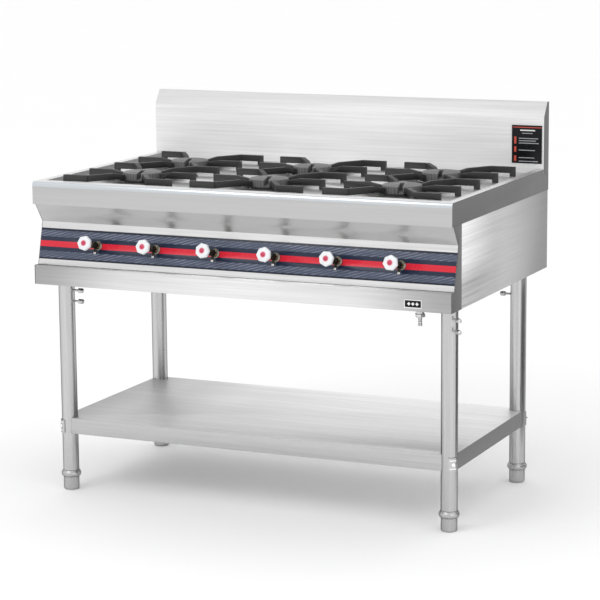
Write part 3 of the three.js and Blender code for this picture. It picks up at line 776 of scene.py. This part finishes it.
def make_valve(index):
    """A needle valve: body, lock nut behind the panel, flange, two nuts, nipple and jet."""
    place = valve_place(index)
    mesh = bmesh.new()
    brass, dark, steel, dull = range(4)

    def turned(profile, sides, material, at=place):
        add_turned(mesh, in_mm(profile), at, sides, material)

    turned([(0, -52), (8, -52), (9, -51), (9, 4), (0, 4)], 32, brass)
    turned([(0, -14), (13, -14), (14, -13), (14, -4), (13, -3), (0, -3)], 6, dark)
    turned([(0, 1.4), (12.4, 1.4), (13, 2), (13, 3.6), (12, 4.6), (10, 6.5), (0, 6.5)], 48, dull)
    turned([(0, 5), (7.5, 5), (7.5, 12), (8.2, 13), (7.5, 14), (7.5, 24), (0, 24)], 32, brass)
    turned([(0, 14), (9.2, 14), (9.6, 14.6), (9.6, 20), (9.2, 20.6), (0, 20.6)], 6, dark)
    turned([(0, 22), (9, 22), (9.5, 22.6), (9.5, 33), (9, 33.6), (5, 34), (0, 34)], 6, dark)
    downwards = place @ Matrix.Translation((0, 0, 14 * MM)) @ Matrix.Rotation(math.radians(87.6), 4, "X")
    turned([(0, 0), (3.4, 0), (3.4, 19), (0, 19)], 24, dark, downwards)
    turned([(0, 18), (3.6, 18), (4.2, 18.6), (4.2, 23.2), (3.4, 24), (0, 24)], 24, steel, downwards)
    jet = place @ Matrix.Translation((0, 0, -38 * MM)) @ Matrix.Rotation(math.radians(-90), 4, "X")
    turned([(0, 0), (5, 0), (5, 24), (0, 24)], 24, brass, jet)
    node = f"valve_{index + 1}"
    finish_piece(node + "_body", mesh, [BRASS, VALVE_NEAR_BLACK, STEEL_HARDWARE, FLANGE_METAL], "stove",
                 nodes=(node,))


def make_inlet():
    """A barbed nozzle, a nut, and a plain neck up into the body."""
    low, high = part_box("gas_inlet")
    place = Matrix.Translation(((low.x + high.x) / 2, (low.y + high.y) / 2, low.z))
    reach = high.z - low.z
    barbs = [(5.8, 0.6), (5.8, 6.2), (4.6, 6.8), (5.8, 12.9), (4.6, 13.5), (5.8, 19.6), (5, 20.2)]
    nozzle = [(0, 0), (4.2, 0), *barbs, (5, 26), (0, 26)]
    mesh = bmesh.new()
    add_turned(mesh, in_mm(nozzle), place, sides=32)
    nut = [(0, 24), (13, 24), (14, 25), (14, 32), (13, 33), (0, 33)]
    add_turned(mesh, in_mm(nut), place, sides=6)
    add_turned(mesh, [(0, 31 * MM), (10.5 * MM, 31 * MM), (10.5 * MM, reach), (0, reach)], place, sides=32)
    finish_piece("gas_inlet_fitting", mesh, [STEEL_HARDWARE], "stove", nodes=("gas_inlet",))


# ---------- legs ----------
LEG_RADIUS = 22 * MM
LEG_WALL = 2 * MM


def make_leg(leg):
    """An open tube with its lower edge rounded."""
    low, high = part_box("leg_" + leg)
    place = Matrix.Translation(leg_axis(leg))
    mesh = bmesh.new()
    soft = 0.6 * MM
    inner = LEG_RADIUS - LEG_WALL
    profile = [(inner, low.z), (LEG_RADIUS - soft, low.z), (LEG_RADIUS, low.z + soft), (LEG_RADIUS, high.z),
               (inner, high.z), (inner, low.z)]
    add_turned(mesh, profile, place, sides=64)
    bmesh.ops.remove_doubles(mesh, verts=mesh.verts, dist=0.001 * MM)
    finish_piece(f"leg_{leg}_tube", mesh, [STEEL_TUBE], "stove", nodes=("leg_" + leg,))


def make_foot(leg):
    """A levelling foot: the cast cup below the leg, and the plug inside it."""
    place = Matrix.Translation(leg_axis(leg))
    profile = [(0, 0), (18, 0), (20.6, 1.6), (21.5, 5), (21.5, 34), (22.5, 36.5), (25.6, 39), (27, 42),
               (27, 47), (25.8, 50.5), (23.5, 52.6), (23, 54.6), (19.1, 54.7), (19.1, 105), (0, 105)]
    mesh = bmesh.new()
    smooth = round_corners(in_mm(profile), 1.2 * MM)
    add_turned(mesh, smooth, place, sides=64)
    node = "foot_" + leg
    finish_piece(node + "_cast", mesh, [STEEL_FOOT], BODY_OF[node], nodes=(node,))


RIDGES = 20
RIDGE_DEPTH = 0.35 * MM


def knurled(angle, radius):
    """A thumb screw's gripped head. Its shank is plain."""
    if radius < 6 * MM:
        return radius
    return radius - RIDGE_DEPTH * (0.5 + 0.5 * math.cos(RIDGES * angle))


def make_thumb_screws(leg):
    for number in (1, 2):
        node = f"thumb_screw_{leg}_{number}"
        low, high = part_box(node)
        axis = leg_axis(leg)
        middle = (low + high) / 2
        outward = Vector((middle.x - axis.x, middle.y - axis.y, 0)).normalized()
        turn = outward.to_track_quat("Z", "Y").to_matrix().to_4x4()
        place = Matrix.Translation((axis.x, axis.y, middle.z)) @ turn
        profile = [(0, 19.4), (3, 19.4), (3, 36), (5, 37), (6.5, 38), (6.5, 49.4), (5.6, 51.4), (3, 53),
                   (0, 53)]
        mesh = bmesh.new()
        add_turned(mesh, in_mm(profile), place, sides=RIDGES * 4, outline=knurled)
        finish_piece(node + "_turned", mesh, [STEEL_HARDWARE], "stove", nodes=(node,))


def add_saddle(mesh, place, inner, outer, half_arc, low, high, material):
    """Adds a plate curved round the Z axis, centred on +X."""
    steps = 14
    angles = [half_arc * (2 * k / steps - 1) for k in range(steps + 1)]
    sections = []
    for angle in angles:
        corners = ((inner, low), (outer, low), (outer, high), (inner, high))
        sections.append([mesh.verts.new(place @ Vector((r * math.cos(angle), r * math.sin(angle), z)))
                         for r, z in corners])
    faces = [mesh.faces.new(sections[0]), mesh.faces.new(sections[-1])]
    for before, after in zip(sections, sections[1:]):
        for k in range(4):
            follow = (k + 1) % 4
            faces.append(mesh.faces.new([before[k], before[follow], after[follow], after[k]]))
    for face in faces:
        face.material_index = material


def make_clamp(leg):
    """A curved saddle with two pressed beads and a round-headed bolt, the beads and bolt head in near-white steel:
    a painted highlight.
    """
    node = "shelf_clamp_" + leg
    low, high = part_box(node)
    axis = leg_axis(leg)
    middle = (low + high) / 2
    facing = math.atan2(middle.y - axis.y, middle.x - axis.x)
    place = Matrix.Translation((axis.x, axis.y, low.z)) @ Matrix.Rotation(facing, 4, "Z")
    height = high.z - low.z
    inner, outer = LEG_RADIUS + 0.3 * MM, LEG_RADIUS + 2.8 * MM
    mesh = bmesh.new()
    plate, bright = range(2)
    add_saddle(mesh, place, inner, outer, math.radians(35), 0, height, plate)
    half_bead = 1.6 * MM
    sunk = outer - 1 * MM
    for share in (0.2, 0.8):
        bead = share * height
        add_saddle(mesh, place, sunk, outer + 0.5 * MM, math.radians(22), bead - half_bead,
                   bead + half_bead, bright)
    bolt = (place @ Matrix.Translation((sunk, 0, height / 2))
            @ Matrix.Rotation(math.radians(90), 4, "Y"))
    head = [(0, 0), (6.5, 0), (6.5, 2.4), (5.6, 4.4), (3.2, 5.8), (0, 6.2)]
    add_turned(mesh, in_mm(head), bolt, sides=32, material=bright)
    finish_piece(node + "_bracket", mesh, [STEEL_TUBE, STEEL_BEAD_GLINT], "stove", nodes=(node,))


# ---------- carried-over pieces ----------
def paint_inner_nodes():
    """The inner pieces keep their CAD shape and get their finish."""
    finishes = {"chassis": PIPE_PAINT, "gas_manifold": PIPE_PAINT, "pilot_rail": STEEL_HARDWARE}
    for node, material in finishes.items():
        for material_slot in frame["nodes"][node].material_slots:
            material_slot.material = material


# ---------- studio ----------
def make_card(name, corners, dark, light):
    """A flat dull card in the studio. Its grey lies between dark and light."""
    mesh = bmesh.new()
    mesh.faces.new([mesh.verts.new(corner) for corner in corners])
    card = new_object(name, mesh)
    surface = Surface(name, 0.9)
    surface.color(surface.blend(surface.noise(2.0), grey(dark), grey(light)))
    card.data.materials.append(surface.material)
    return card


def make_floor():
    reach = 60.0
    corners = ((-reach, -reach, 0), (reach, -reach, 0), (reach, reach, 0), (-reach, reach, 0))
    make_card("studio_floor", corners, 0.94, 0.96)


def make_flag():
    """A dark card beside the range, seen only in reflections, which draws the tubes' dark edges."""
    beside, front, back, foot, top = 1.1, -0.1, 0.8, 0.01, 0.5
    corners = ((beside, front, foot), (beside, back, foot), (beside, back, top), (beside, front, top))
    flag = make_card("studio_flag", corners, 0.16, 0.18)
    flag.visible_camera = False
    flag.visible_diffuse = False
    flag.visible_shadow = False


def make_light(name, location, aim, size, power):
    """A soft rectangular light. size is its width and height in metres, power is in watts."""
    data = bpy.data.lights.new(name, "AREA")
    data.shape = "RECTANGLE"
    data.size, data.size_y = size
    data.energy = power
    light = bpy.data.objects.new(name, data)
    light.location = location
    light.rotation_euler = (Vector(aim) - Vector(location)).to_track_quat("-Z", "Y").to_euler()
    bpy.context.scene.collection.objects.link(light)


def make_studio():
    scene = bpy.context.scene
    scene.view_settings.view_transform = "Standard"
    world = bpy.data.worlds.new("studio")
    world.use_nodes = True
    scene.world = world
    background = world.node_tree.nodes["Background"]
    background.inputs["Color"].default_value = (1, 1, 1, 1)
    background.inputs["Strength"].default_value = 1.04
    middle = (0, 0, 0.6)
    make_light("key", (-1.5, -4.0, 4.0), middle, size=(3.0, 2.0), power=50)
    make_light("fill", (4.0, -2.5, 1.6), middle, size=(2.0, 2.0), power=12)
    make_floor()
    make_flag()


# The camera stands to the right of the range, well above its deck, and looks slightly down.
CAMERA_PLACE = (2.5917, -5.7140, 1.6675)
CAMERA_YAW = 24.186  # degrees, as are the pitch and the roll
CAMERA_PITCH = -10.325
CAMERA_ROLL = 0.471
CAMERA_LENS = 139.58  # millimetres
CAMERA_SENSOR = 36


def make_camera():
    data = bpy.data.cameras.new("camera")
    data.sensor_width = CAMERA_SENSOR
    data.lens = CAMERA_LENS
    camera = bpy.data.objects.new("camera", data)
    turn = (Matrix.Rotation(math.radians(CAMERA_YAW), 4, "Z")
            @ Matrix.Rotation(math.radians(90 + CAMERA_PITCH), 4, "X")
            @ Matrix.Rotation(math.radians(-CAMERA_ROLL), 4, "Z"))
    camera.matrix_world = Matrix.Translation(CAMERA_PLACE) @ turn
    bpy.context.scene.collection.objects.link(camera)
    bpy.context.scene.camera = camera


make_camera()
make_studio()
make_deck()
make_backsplash()
make_shelf()
make_panels()
make_notice()
make_badge()
make_burners()
make_grates()
for number in range(BURNERS):
    make_valve(number)
    make_knob(number)
make_inlet()
for leg_name in LEGS:
    make_leg(leg_name)
    make_foot(leg_name)
    make_thumb_screws(leg_name)
    make_clamp(leg_name)
paint_inner_nodes()

bpy.context.view_layer.update()
